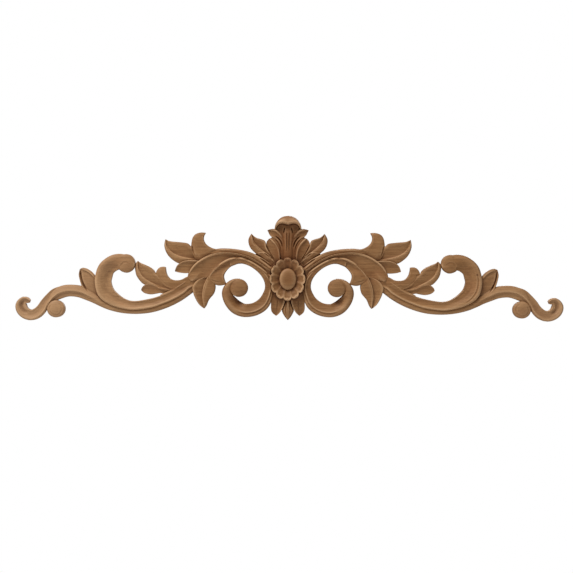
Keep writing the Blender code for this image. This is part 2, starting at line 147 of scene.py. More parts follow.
def flow(points: tuple, shares: np.ndarray) -> np.ndarray:
    """Follow a smooth curve through points.

    Args:
        points: rows whose first two numbers are a plan point.
        shares: shares of the curve's length, from 0 to 1.

    Returns:
        One row for each share.
    """
    rows = np.array(points, dtype=float)
    last = len(rows) - 1
    t = np.linspace(0, 1, CURVE_STEPS, endpoint=False)[:, None]
    pieces = []
    for index in range(last):
        a, b, c, d = (rows[min(max(index + step, 0), last)] for step in (-1, 0, 1, 2))
        pieces.append(0.5 * (2 * b + (c - a) * t + (2 * a - 5 * b + 4 * c - d) * t**2
                             + (3 * b - a - 3 * c + d) * t**3))
    fine = np.vstack([*pieces, rows[-1:]])
    run = np.concatenate([[0.0], np.cumsum(np.hypot(*np.diff(fine[:, :2], axis=0).T))])
    goal = np.asarray(shares) * run[-1]
    return np.stack([np.interp(goal, run, column) for column in fine.T], axis=1)


def run_length(points: tuple) -> float:
    """Return the length in plan of the straight lines through points."""
    rows = np.array(points, dtype=float)[:, :2]
    return float(np.hypot(*np.diff(rows, axis=0).T).sum())


def leftward(middle: np.ndarray) -> np.ndarray:
    """Return the unit direction to the left at each point of a line."""
    along = np.gradient(middle, axis=0)
    along /= np.hypot(*along.T)[:, None]
    return np.stack([-along[:, 1], along[:, 0]], axis=1)


def wing_x(x: np.ndarray, side: int) -> np.ndarray:
    """Place plan x on one wing, a little further out on the longer one."""
    if side == LONGER_SIDE:
        x = x + LONGER_BY * np.maximum(0.0, x - LONGER_BEYOND)
    return x * side


@dataclass(frozen=True)
class Course:
    """A ribbon's rib, edges, crest and sections at its stations."""

    rib: np.ndarray
    left: np.ndarray
    right: np.ndarray
    crest: np.ndarray
    sections: Sections


@dataclass(frozen=True)
class Stem:
    """A ribbon of even sides: rows of (x, z, half width, crest) along its middle."""

    name: str
    sections: Sections
    rows: tuple
    fewest: int = 10

    def course(self, step: float) -> Course:
        """Lay out the ribbon with a station about every step millimetres."""
        count = max(self.fewest, round(run_length(self.rows) / step))
        path = flow(self.rows, np.linspace(0, 1, count))
        middle = path[:, :2]
        aside = leftward(middle) * path[:, 2:3]
        return Course(middle, middle + aside, middle - aside, path[:, 3], self.sections)


@dataclass(frozen=True)
class Leaf:
    """A ribbon with an outline of its own on each side of its rib, ending in a tip."""

    name: str
    sections: Sections
    rib: tuple
    left: tuple
    right: tuple
    crests: tuple
    tip_cut: float = 0.992
    fewest: int = 12

    @classmethod
    def even(cls, name: str, rib: tuple, edge: tuple, crests: tuple) -> Leaf:
        """Make a rounded leaf on the axis from its right edge."""
        return cls(name, only(Section.ROUND), rib, tuple((-x, z) for x, z in edge), edge, crests)

    def course(self, step: float) -> Course:
        """Lay out the ribbon with a station about every step millimetres."""
        lines = (self.rib, self.left, self.right)
        count = max(self.fewest, round(max(run_length(line) for line in lines) / step))
        shares = np.linspace(0, self.tip_cut, count)
        crest = np.interp(shares, np.linspace(0, 1, len(self.crests)), self.crests)
        return Course(*(flow(line, shares) for line in lines), crest, self.sections)


@dataclass(frozen=True)
class Dome:
    """A flattened ball: centre, half width, half height, edge and top relief."""

    name: str
    x: float
    z: float
    half_width: float
    half_height: float
    edge: float
    top: float
    fullness: float = 2.0
    segments: int = 64
    rings: int = 14


Element = Stem | Leaf | Dome


@dataclass(frozen=True)
class Stroke:
    """A line that follows the carved surface, sunk into it or, with a negative depth, raised.

    It is drawn on one side only where that is named, and otherwise on both.
    """

    name: str
    points: tuple
    half_width: float
    depth: float
    fade_in: float = 0.2
    fade_out: float = 0.2
    one_side: int = 0


def arc(x: float, z: float, radius: float, start: float, end: float, count: int = 14) -> tuple:
    """Follow part of a circle in the plan.

    Args:
        x: the centre's place outward.
        z: the centre's height.
        radius: the circle's radius.
        start: where the arc begins, in degrees from outward toward up.
        end: where it ends.
        count: how many points it gives.

    Returns:
        The points.
    """
    turns = np.radians(np.linspace(start, end, count))
    return tuple((x + radius * math.cos(turn), z + radius * math.sin(turn)) for turn in turns)


def linked_object(name: str, data: bpy.types.ID) -> bpy.types.Object:
    """Make an object of a mesh, light or camera and put it in the scene."""
    item = bpy.data.objects.new(name, data)
    bpy.context.scene.collection.objects.link(item)
    return item


def shaped_object(name: str, shape: bmesh.types.BMesh) -> bpy.types.Object:
    """Make an object of an edited shape, which is used up."""
    mesh = bpy.data.meshes.new(name)
    shape.to_mesh(mesh)
    shape.free()
    return linked_object(name, mesh)


def closed_solid(name: str, verts: np.ndarray, faces: list) -> bpy.types.Object:
    """Make an object of a closed surface.

    Args:
        name: the object's name.
        verts: points in millimetres.
        faces: corner numbers of each face.

    Returns:
        The object, with its faces pointing outwards.
    """
    mesh = bpy.data.meshes.new(name)
    mesh.from_pydata((verts * MM).tolist(), [], faces)
    shape = bmesh.new()
    shape.from_mesh(mesh)
    bmesh.ops.recalc_face_normals(shape, faces=shape.faces)
    bpy.data.meshes.remove(mesh)
    return shaped_object(name, shape)


def plain_mesh(item: bpy.types.Object) -> bpy.types.Mesh:
    """Return the evaluated object as a mesh of its own."""
    graph = bpy.context.evaluated_depsgraph_get()
    return bpy.data.meshes.new_from_object(item.evaluated_get(graph))


def surface_tree(mesh: bpy.types.Mesh) -> BVHTree:
    """Return a tree for rays against a mesh."""
    shape = bmesh.new()
    shape.from_mesh(mesh)
    tree = BVHTree.FromBMesh(shape)
    shape.free()
    return tree


@dataclass
class Wiring:
    """Adds nodes to a tree, each with its settings, values and links at once."""

    tree: bpy.types.NodeTree

    def put(self, kind: str, inputs: dict[str | int, object], **settings: object) -> bpy.types.Node:
        """Add a node.

        Args:
            kind: the node's type.
            inputs: the socket to link, or the value to set, for each input.
            settings: the node's own properties.

        Returns:
            The node.
        """
        node = self.tree.nodes.new(kind)
        for key, value in settings.items():
            setattr(node, key, value)
        self.feed(node, inputs)
        return node

    def feed(self, node: bpy.types.Node, inputs: dict[str | int, object]) -> None:
        """Link or set inputs of a node."""
        for key, value in inputs.items():
            if isinstance(value, bpy.types.NodeSocket):
                self.tree.links.new(value, node.inputs[key])
            else:
                node.inputs[key].default_value = value

    def out(self, kind: str, inputs: dict[str | int, object], output: str | int = 0,
            **settings: object) -> bpy.types.NodeSocket:
        """Add a node and return one of its outputs."""
        return self.put(kind, inputs, **settings).outputs[output]


@dataclass
class Chisel:
    """Cuts ribbons and domes as closed solids that overlap and reach behind the back."""

    station_step: float = 1.4
    strips: int = 9
    edge_round: float = 1.0
    edge_strips: int = 3
    edge_share: float = 0.45
    narrow: float = 3.0
    buried: float = 1.0
    depth_step: float = 0.02
    cut: list[bpy.types.Object] = field(default_factory=list)

    def depth(self) -> float:
        """Return how far behind the back the next solid reaches, never the same twice."""
        return self.buried + self.depth_step * len(self.cut)

    def shape(self, element: Element, side: int) -> bpy.types.Object:
        """Cut one element and remember it.

        Args:
            element: the ribbon or ball.
            side: 1 for the wing at +X and -1 for the other.

        Returns:
            The new solid.
        """
        if isinstance(element, Dome):
            verts, faces = self.dome(element, side)
        else:
            verts, faces = self.ribbon(element.course(self.station_step), side)
        item = closed_solid(element.name, verts, faces)
        self.cut.append(item)
        return item

    @staticmethod
    def mixed_shares(course: Course, across: np.ndarray) -> np.ndarray:
        """Blend a ribbon's sections along it.

        Args:
            course: the ribbon.
            across: places across, one row for each station.

        Returns:
            The share of the crest at each place.
        """
        along = np.linspace(0, 1, len(course.rib))
        (start, first), *rest = course.sections
        found = first.shares(across)
        for end, section in rest:
            mix = np.clip((along - start) / (end - start), 0, 1)
            mix = (mix * mix * (3 - 2 * mix))[:, None]
            found = found * (1 - mix) + section.shares(across) * mix
            start = end
        return found

    def ribbon(self, course: Course, side: int) -> tuple[np.ndarray, list]:
        """Loft a ribbon's sections into one closed surface.

        Args:
            course: the ribbon laid out.
            side: 1 for the wing at +X and -1 for the other.

        Returns:
            The points and the faces.
        """
        reach = [np.hypot(*(edge - course.rib).T)[:, None] for edge in (course.left, course.right)]
        inner = np.linspace(0, 1, self.strips + 1)[None, :]
        corner = np.linspace(0, np.pi / 2, self.edge_strips + 1)[None, 1:]
        places, drops = [], []
        for sign, wide in zip((-1, 1), reach):
            wide = np.maximum(wide, TINY)
            radius = np.minimum(self.edge_round, self.edge_share * wide)
            body = inner * (1 - radius / wide)
            edge = 1 - radius / wide * (1 - np.sin(corner))
            places.append(np.hstack([body, edge]) * sign)
            drops.append(np.hstack([np.zeros_like(body), radius * (1 - np.cos(corner))]))
        across = np.hstack([places[0][:, ::-1], places[1][:, 1:]])
        drop = np.hstack([drops[0][:, ::-1], drops[1][:, 1:]])
        shares = self.mixed_shares(course, across)
        ends = np.minimum(shares[:, :1], shares[:, -1:])
        fullness = np.clip((reach[0] + reach[1]) / self.narrow, 0, 1)
        relief = course.crest[:, None] * (ends + (shares - ends) * fullness) - drop
        edge = np.where((across < 0)[..., None], course.left[:, None, :], course.right[:, None, :])
        plan = course.rib[:, None, :] + (edge - course.rib[:, None, :]) * np.abs(across)[..., None]
        x = wing_x(plan[..., 0], side)
        top = np.stack([x, -relief, plan[..., 1]], axis=-1)
        back = np.stack([x, np.full_like(x, self.depth()), plan[..., 1]], axis=-1)
        loops = np.concatenate([top, back[:, ::-1]], axis=1)
        return loops.reshape(-1, 3), self.tube_faces(*loops.shape[:2])

    @staticmethod
    def band_faces(count: int, size: int) -> list[tuple[int, ...]]:
        """Return the quads that join count loops of size points."""
        return [(near + index, near + (index + 1) % size, near + size + (index + 1) % size,
                 near + size + index)
                for near in range(0, (count - 1) * size, size) for index in range(size)]

    @classmethod
    def tube_faces(cls, count: int, size: int) -> list[tuple[int, ...]]:
        """Return the quads that join count loops of size points and cap both ends."""
        caps = [(start + index, start + index + 1, start + size - 2 - index, start + size - 1 - index)
                for start in (0, (count - 1) * size) for index in range(size // 2 - 1)]
        return cls.band_faces(count, size) + caps

    def dome(self, ball: Dome, side: int) -> tuple[np.ndarray, list]:
        """Turn a flattened ball about its own axis.

        Args:
            ball: the ball's sizes.
            side: 1 for the wing at +X and -1 for the other.

        Returns:
            The points and the faces.
        """
        count = ball.segments
        turn = np.arange(count) / count * 2 * np.pi
        lean = np.arange(1, ball.rings + 1) / ball.rings * np.pi / 2
        reach = np.sin(lean) ** (2.0 / ball.fullness)
        height = ball.edge + (ball.top - ball.edge) * np.cos(lean)
        centre = float(wing_x(np.array([ball.x]), side)[0])
        around = np.stack([np.cos(turn) * ball.half_width, np.sin(turn) * ball.half_height], axis=1)
        verts = [(centre + a * r, -h, ball.z + b * r) for r, h in zip(reach, height) for a, b in around]
        verts += [(centre + a, self.depth(), ball.z + b) for a, b in around]
        verts += [(centre, -ball.top, ball.z), (centre, self.depth(), ball.z)]
        faces = self.band_faces(ball.rings + 1, count)
        for index in range(count):
            beyond = (index + 1) % count
            last = ball.rings * count
            faces += [(len(verts) - 2, beyond, index), (len(verts) - 1, last + index, last + beyond)]
        return np.array(verts), faces


@dataclass
class Liner:
    """Draws strokes on a carved surface: raised beads and gouged grooves."""

    surface: BVHTree
    step: float = 0.9
    fewest: int = 8
    reach: float = 1.5
    places: int = 9
    settle: int = 5
    sky: float = 40.0
    root: float = 1.6
    lowest_root: float = 0.6
    least_fade: float = 1e-3
    beads: list[bpy.types.Object] = field(default_factory=list)
    grooves: list[bpy.types.Object] = field(default_factory=list)

    def heights(self, x: np.ndarray, z: np.ndarray) -> np.ndarray:
        """Measure the surface's relief along a line and smooth it.

        Args:
            x: places along the length, as built on the wing.
            z: heights up the wall.

        Returns:
            The relief at each station.
        """
        found = np.full(len(x), np.nan)
        for index, (across, up) in enumerate(zip(x, z)):
            hit = self.surface.ray_cast(Vector((across * MM, -self.sky * MM, up * MM)), BACKWARD)[0]
            if hit is not None and hit.y < -MM:
                found[index] = -hit.y / MM
        known = ~np.isnan(found)
        spots = np.arange(len(x))
        found = np.interp(spots, spots[known], found[known])
        window = np.ones(self.settle) / self.settle
        return np.convolve(np.pad(found, self.settle // 2, mode="edge"), window, mode="valid")

    def draw(self, stroke: Stroke, side: int) -> None:
        """Make the solid of one stroke.

        Args:
            stroke: the line.
            side: 1 for the wing at +X and -1 for the other.
        """
        count = max(self.fewest, round(run_length(stroke.points) / self.step))
        shares = np.linspace(0, 1, count)
        middle = flow(stroke.points, shares)[:, :2]
        middle[:, 0] = wing_x(middle[:, 0], side)
        aside = leftward(middle) * stroke.half_width
        rise = np.clip(shares / max(stroke.fade_in, self.least_fade), 0, 1)
        fall = np.clip((1 - shares) / max(stroke.fade_out, self.least_fade), 0, 1)
        strength = np.sin(np.minimum(rise, fall) * np.pi / 2)
        across = np.linspace(-self.reach, self.reach, self.places)
        base = self.heights(middle[:, 0], middle[:, 1]) - stroke.depth * strength
        relief = base[:, None] + stroke.depth * across[None, :] ** 2
        plan = middle[:, None, :] + aside[:, None, :] * across[None, :, None]
        line = np.stack([plan[..., 0], -relief, plan[..., 1]], axis=-1)
        far = line[:, ::-1].copy()
        if stroke.depth > 0:
            far[..., 1] = -self.sky
        else:
            far[..., 1] = -np.maximum(base - self.root + 2 * stroke.depth, self.lowest_root)[:, None]
        loops = np.concatenate([line, far], axis=1)
        kept = self.grooves if stroke.depth > 0 else self.beads
        kept.append(closed_solid(stroke.name, loops.reshape(-1, 3), Chisel.tube_faces(*loops.shape[:2])))


@dataclass
class Ornament:
    """A group of elements: those cut on each of its sides, those on the axis, and its strokes."""

    sides: tuple[int, ...]
    paired: tuple[Element, ...]
    middle: tuple[Element, ...]
    strokes: tuple[Stroke, ...]

    def carve(self, chisel: Chisel) -> None:
        """Cut every element."""
        for side in self.sides:
            for element in self.paired:
                chisel.shape(element, side)
        for element in self.middle:
            chisel.shape(element, 1)

    def draw(self, liner: Liner) -> None:
        """Draw the strokes on each side that has them."""
        for side in self.sides:
            for stroke in self.strokes:
                if stroke.one_side in (0, side):
                    liner.draw(stroke, side)


@dataclass
class Wing(Ornament):
    """One wing: the two great scrolls, the tail, the leaf sprays and the balls."""

    paired: tuple[Element, ...] = (
        Stem("inner_scroll", (
            (0, Section.ARCH), (0.22, Section.ARCH), (0.36, Section.BANK), (0.52, Section.TROUGH),
            (0.64, Section.TROUGH), (0.73, Section.WELL), (0.84, Section.CORD)), (
            (58, 15.8, 3.4, 9.2), (48, 18, 2.5, 9.6), (38, 15.4, 2.4, 9.8), (28.6, 9.1, 2.5, 10),
            (21.5, 1.5, 3.5, 10), (18.7, -6.7, 4.2, 9.6), (19.8, -14.6, 4.8, 9.4), (24.2, -24, 6.3, 9.4),
            (32.3, -29.7, 6.5, 9.6), (42.5, -31.4, 6.6, 9.8), (50.6, -28.6, 6.9, 9.8),
            (56.5, -23.2, 6.4, 9.6), (60.4, -17, 5.2, 9.6), (61.2, -11.3, 4.2, 9.8), (58.6, -5.4, 2.9, 9.9),
            (53.6, -1.5, 1.7, 9.6), (48, -0.3, 0.8, 9.2))),
        Stem("outer_scroll", (
            (0, Section.CHANNEL), (0.45, Section.CHANNEL), (0.6, Section.SHOULDER),
            (0.86, Section.SHOULDER), (1, Section.ROUND)), (
            (88, -0.4, 5, 7), (99.9, -5.9, 4.4, 8), (106.6, -11.3, 4.6, 8.6), (116.8, -17.1, 4.6, 9),
            (127, -21.4, 4.5, 9.2), (137.2, -24.5, 4.7, 9.4), (152.5, -26.7, 4.5, 9.6),
            (162.7, -25.4, 4.9, 9.6), (173.1, -20.8, 6.6, 9.8), (181.5, -13.6, 8.1, 10),
            (184.5, -3.7, 8, 10), (183.5, 4, 8.1, 9.8), (181.6, 9.4, 8, 9.8), (178, 13.2, 7.9, 9.8),
            (173.3, 16, 7.9, 9.8), (168, 17, 7.9, 9.6), (162, 15.6, 8.4, 9.4))),
        Stem("tail_stem", ((0, Section.CORD), (0.58, Section.CORD), (0.72, Section.CREST)), (
            (92, -7.4, 3.2, 6.8), (98, -11.9, 3.1, 7), (106.6, -18.3, 3, 7.6), (116.8, -23.8, 3.1, 7.8),
            (127, -27.9, 3.1, 7.9), (137.2, -30.8, 3, 7.9), (147.4, -32.1, 2.9, 7.9),
            (157.6, -32.1, 2.9, 7.9), (167.8, -30.9, 2.9, 7.9), (178, -27.9, 3.3, 7.9),
            (186, -24.2, 3.7, 7.9), (192.7, -20, 4.6, 8), (199.3, -16.6, 5.3, 8.2), (207.6, -13, 5.9, 8.2),
            (216, -11.9, 5.9, 8.2), (223, -12.5, 6, 8.2), (229.5, -15, 5.8, 8.2), (234.5, -19, 4.4, 8.2),
            (237.8, -23.3, 2.8, 8), (239.7, -27.8, 1.5, 7.8), (240.4, -31.8, 0.6, 7.4))),
        Stem("tail_hook", only(Section.CHANNEL), (
            (226, -10.3, 3, 7), (233, -13.5, 3.6, 7.6), (238.5, -18.8, 3.8, 7.8), (242.7, -24.3, 4.3, 7.8),
            (246, -30, 4.9, 7.8), (250.5, -34.4, 5.2, 7.8), (256.1, -36.4, 5.3, 7.8),
            (261.7, -34.8, 5.5, 7.8), (265.5, -30.8, 5.7, 7.8), (266.2, -26.1, 5.5, 7.6),
            (263.8, -21.9, 3.9, 7.5), (261.2, -21.7, 3.2, 7.4), (259.3, -22.2, 2.5, 7.3),
            (257.8, -22.8, 1.4, 7))),
        Stem("arch_top", only(Section.ROUND), (
            (16, 9.4, 2.8, 9), (26, 17.7, 3, 9), (38, 23.8, 3, 8.8), (50, 26.8, 2.8, 8.6),
            (62, 27.9, 2.7, 8.4), (70, 27, 3.2, 8.2), (78, 25.6, 2.4, 7.4), (85, 24.6, 1.2, 6))),
        Leaf("arch_leaf", ((0, Section.CUP), (0.82, Section.CUP), (0.96, Section.ROUND)),
             ((17.6, 6), (28.5, 14.4), (40.6, 20.8), (52.5, 23.4), (64.5, 22.6), (75, 17.8), (83.5, 10.8),
              (90, 4), (96.5, -2.6)),
             ((17.6, 9), (29.6, 17.5), (42.6, 23.6), (55.5, 26.2), (67.5, 26.5), (79.6, 23.5),
              (89.9, 17.4), (96.8, 9.7), (100.1, 1.5), (98.6, -1.8), (96.5, -2.6)),
             ((17.6, 3), (27.1, 10.7), (38.3, 17.5), (48.6, 20.6), (58.9, 19.3), (69.3, 13.1),
              (76.2, 6.2), (81.5, 1.1), (88.2, -1.4), (96.5, -2.6)),
             (10.6, 10.6, 10.4, 10, 9.6, 9, 8.4)),
        Leaf("curl_leaf", ((0, Section.CUP), (0.5, Section.CUP), (0.78, Section.SWELL)),
             ((40, 17.8), (50, 18.3), (58, 16.5), (65.5, 11.5), (69.5, 5), (69, -1), (66, -4.5),
              (61.2, -5.3)),
             ((40, 19.6), (48.6, 20.6), (58.9, 19.3), (69.3, 13.1), (76.2, 6.2), (79.4, 0.6),
              (77.4, -2.8), (74.2, -5), (68.4, -6.6), (61.2, -5.3)),
             ((40, 16), (46.9, 15.4), (51.2, 15), (57.2, 12.3), (61.5, 8), (63.7, 3.7), (63.2, -0.6),
              (61.2, -5.3)),
             (10.6, 10.4, 10, 9.6, 9.2, 8.6)),
        Leaf("hanging_leaf", only(Section.FOLD),
             ((79, 3), (80.8, -1.4), (83.5, -8.4), (84.9, -17.9), (83.6, -29.6)),
             ((83, 2), (90.5, -1.2), (95.2, -7.4), (94.8, -12.4), (92.8, -18.4), (88.8, -25.3),
              (83.6, -29.6)),
             ((75, 0.5), (72.4, -6.2), (72.7, -11), (74.4, -15.3), (78.7, -20.5), (81.3, -26.5),
              (83.6, -29.6)),
             (8, 8.8, 9, 8.8, 8.6, 8.2, 7.4)),
        Leaf("upper_leaf", only(Section.FOLD),
             ((88, 18.5), (97.2, 19.6), (107.4, 21.8), (115, 25.3), (120.7, 30.9), (122.4, 39.6)),
             ((88, 28), (96.7, 32.5), (100.2, 35.5), (107.4, 36.6), (117.6, 37.6), (122.4, 39.6)),
             ((88, 15), (98, 17), (104.5, 17), (109.4, 15.6), (116.6, 20.2), (121.2, 25.8), (123.5, 33),
              (122.4, 39.6)),
             (5.5, 8, 8.8, 8.8, 8.6, 8, 7.4)),
        Leaf("upper_curl", only(Section.SWELL),
             ((83, 12), (88, 22), (90.8, 31), (90, 38.2), (87, 43.4), (82.1, 46.1)),
             ((90, 12), (93.5, 20), (96.6, 29), (96.4, 35.5), (95.1, 41.3), (92.1, 44.8), (87, 46.4),
              (82.1, 46.1)),
             ((66, 24), (67, 28.4), (74.2, 30), (80.9, 34.1), (83.9, 38.7), (83.9, 42.8), (82.1, 46.1)),
             (5, 7, 8.6, 8.8, 8.8, 8.2, 7.2)),
        Leaf("upper_lobe", only(Section.CUP),
             ((86, 14), (96, 13.5), (105, 11.5), (113, 7.5)),
             ((86, 17.5), (94, 18.6), (102.3, 18.2), (107.4, 16.2), (111, 12.8), (113, 7.5)),
             ((88, 8.4), (99.2, 5.9), (107.4, 6.1), (113, 7.5)),
             (8.8, 9.3, 9, 8.2, 7)),
        Leaf("inner_leaf", ((0, Section.SWELL), (0.4, Section.FOLD)),
             ((108, -10), (116.8, -10.6), (127, -8.9), (132.1, -6.4), (137.2, -3.9), (142.3, -0.9),
              (146.4, 3.2), (149.4, 9.8), (149.9, 18)),
             ((108, -4), (118, -3), (126, 1), (132.1, 5.8), (133.6, 8.4), (137.2, 11.4), (142.3, 13.9),
              (147.4, 16), (149.9, 18)),
             ((108, -13), (118, -13), (127, -11), (135, -7.6), (143.3, -5.7), (147.4, -2.4),
              (151, 2.7), (152.4, 7.8), (152.8, 14), (149.9, 18)),
             (5, 7, 7.8, 7.8, 7.8, 7.6, 7)),
        Leaf("inner_curl", only(Section.SWELL),
             ((97, -3), (109, -5), (119, -2.5), (125, 3), (126, 8.2), (122.1, 12)),
             ((99, -9), (112, -11.5), (123, -7.5), (129, -1), (131.8, 5), (130.6, 8.9), (128, 11.5),
              (124.9, 12.2), (122.1, 12)),
             ((95, 4.2), (101.5, 1.8), (106.6, -0.8), (112.7, -1.3), (117.3, 0.2), (120.3, 3.8),
              (121.6, 7.9), (122.1, 12)),
             (7.6, 8, 8, 7.8, 7.4, 6.4)),
        Leaf("inner_lobe", only(Section.CUP),
             ((120, -12.5), (130, -10.2), (139, -9.6), (146.6, -11.3)),
             ((118, -10.6), (127, -9.2), (134, -6.4), (139, -4.8), (142.8, -6), (145.5, -8.5),
              (146.6, -11.3)),
             ((118, -16.5), (127, -14.3), (131.1, -14.8), (137.2, -15.6), (143.3, -14.2), (146.6, -11.3)),
             (7.8, 8.4, 8, 7.4, 6.6)),
        Leaf("tail_leaf", only(Section.BOWL),
             ((194, -20), (199.4, -13.3), (203.5, -6.7), (206.1, -0.1), (207.4, 8), (207.7, 9.6)),
             ((182, -17.7), (188, -6.7), (191, 0.3), (195.3, 6.1), (200.4, 9.6), (205.4, 10.6),
              (207.7, 9.6)),
             ((200, -19), (204.5, -11), (206.8, -5), (208.2, 0), (208.9, 4.5), (207.7, 9.6)),
             (7.6, 7.6, 7.4, 7.2, 6.8)),
        Dome("inner_ball", 48.8, -8.9, 9, 9, 8.6, 10.8),
        Dome("outer_head", 161.5, 15.4, 9, 9.2, 7.6, 9.7),
        Dome("foot_fill", 94, -3.6, 6.5, 6, 6.2, 7.2),
        Dome("outer_ball", 161.4, 12, 6.2, 6, 6.4, 8.7),
        Dome("tail_ball", 231.4, -30.1, 8.9, 8.6, 6.6, 9.2),
    )
    middle: tuple[Element, ...] = ()
    strokes: tuple[Stroke, ...] = (
        Stroke("ridge_one", (
            (18.2, 8.2), (30.1, 16.6), (42.9, 22.6), (55.5, 25.2), (67.3, 25.4), (79.2, 22.5),
            (89.2, 16.7), (94.9, 11.1), (98.3, 5.2), (99.2, 1.2)), 0.7, -0.5, 0.05, 0.15),
        Stroke("ridge_two", (
            (17.6, 3), (27.1, 10.7), (38.3, 17.5), (48.6, 20.6), (58.9, 19.2), (69.3, 13.1), (76.2, 6.2),
            (80.5, -0.6), (83.5, -8.4), (84.8, -17.9), (84, -28)), 0.75, -0.55, 0.05, 0.3),
        Stroke("curl_crease", ((77.6, -0.9), (75.4, -1.3), (72, -2.6), (66.5, -3.2)), 0.9, 0.4, 0.4, 0.5),
        Stroke("upper_midrib", (
            (121.4, 34), (120.4, 30.9), (115, 25.3), (107.4, 21.8), (97.2, 19.7), (91, 19.3)), 0.7, -0.5),
        Stroke("arch_border", (
            (79.6, 31.7), (72.7, 29), (59.8, 28.8), (46.9, 27.8), (38.3, 25.7), (31.4, 22.7),
            (23.6, 18.4), (15.9, 13.2)), 0.7, -0.4),
        Stroke("inner_midrib", (
            (149.4, 9.8), (146.4, 3.1), (142.3, -0.9), (137.2, -3.9), (132.1, -6.4), (124.4, -9.5)),
            0.7, -0.45, 0.2, 0.6),
        Stroke("head_groove", (
            (167.6, 11.6), (164.6, 15.4), (160.4, 16.2), (156.2, 13.6)), 1.2, 0.3, 0.3, 0.5),
        Stroke("scroll_cove", (
            (167, 10.6), (172.6, 9.4), (177, 4.4), (178.8, -3.6), (176.6, -12)), 4.4, 1.15, 0.45, 0.7),
        Stroke("hook_cove", (
            (259, -34.4), (262.6, -32.4), (265.2, -28.8), (265.2, -25), (262.6, -22)), 2, 1, 0.35, 0.3),
        Stroke("tail_fold", (
            (207.3, 7.6), (206.1, -0.1), (203.5, -6.7), (199.4, -13.3)), 0.9, 1.1, 0.1, 0.3),
        Stroke("tail_rim", ((205.4, 9.3), (200.8, 8.2), (196.4, 4.9), (193.2, 1.2)), 1.2, -0.35),
        Stroke("tail_hollow", ((205, 6.4), (201.2, 5), (197.5, 2.2), (194.6, -1.6)), 1.6, 0.15),
        Stroke("tail_ring", arc(231.4, -30.1, 6.5, 110, 400), 0.8, 0.22, 0.1, 0.1),
        Stroke("upper_crease", ((95.6, 33), (94.6, 27.5), (92.4, 21.5)), 0.9, 0.8, 0.1, 0.6),
        Stroke("curl_line", ((129.4, 5.6), (127, -0.2), (121.5, -5.6), (114, -9.4)), 0.7, 0.22, 0.1, 0.6),
        Stroke("leaf_foot", ((127, -17), (116.8, -12), (106.6, -5.9), (101, -2)), 0.7, -0.4),
        Stroke("band_line", (
            (175.6, -24), (183, -17.8), (187.4, -10), (188.4, -1.2), (187.2, 6.3)), 1.1, 0.5, 0.3, 0.4,
            LONGER_SIDE),
    )


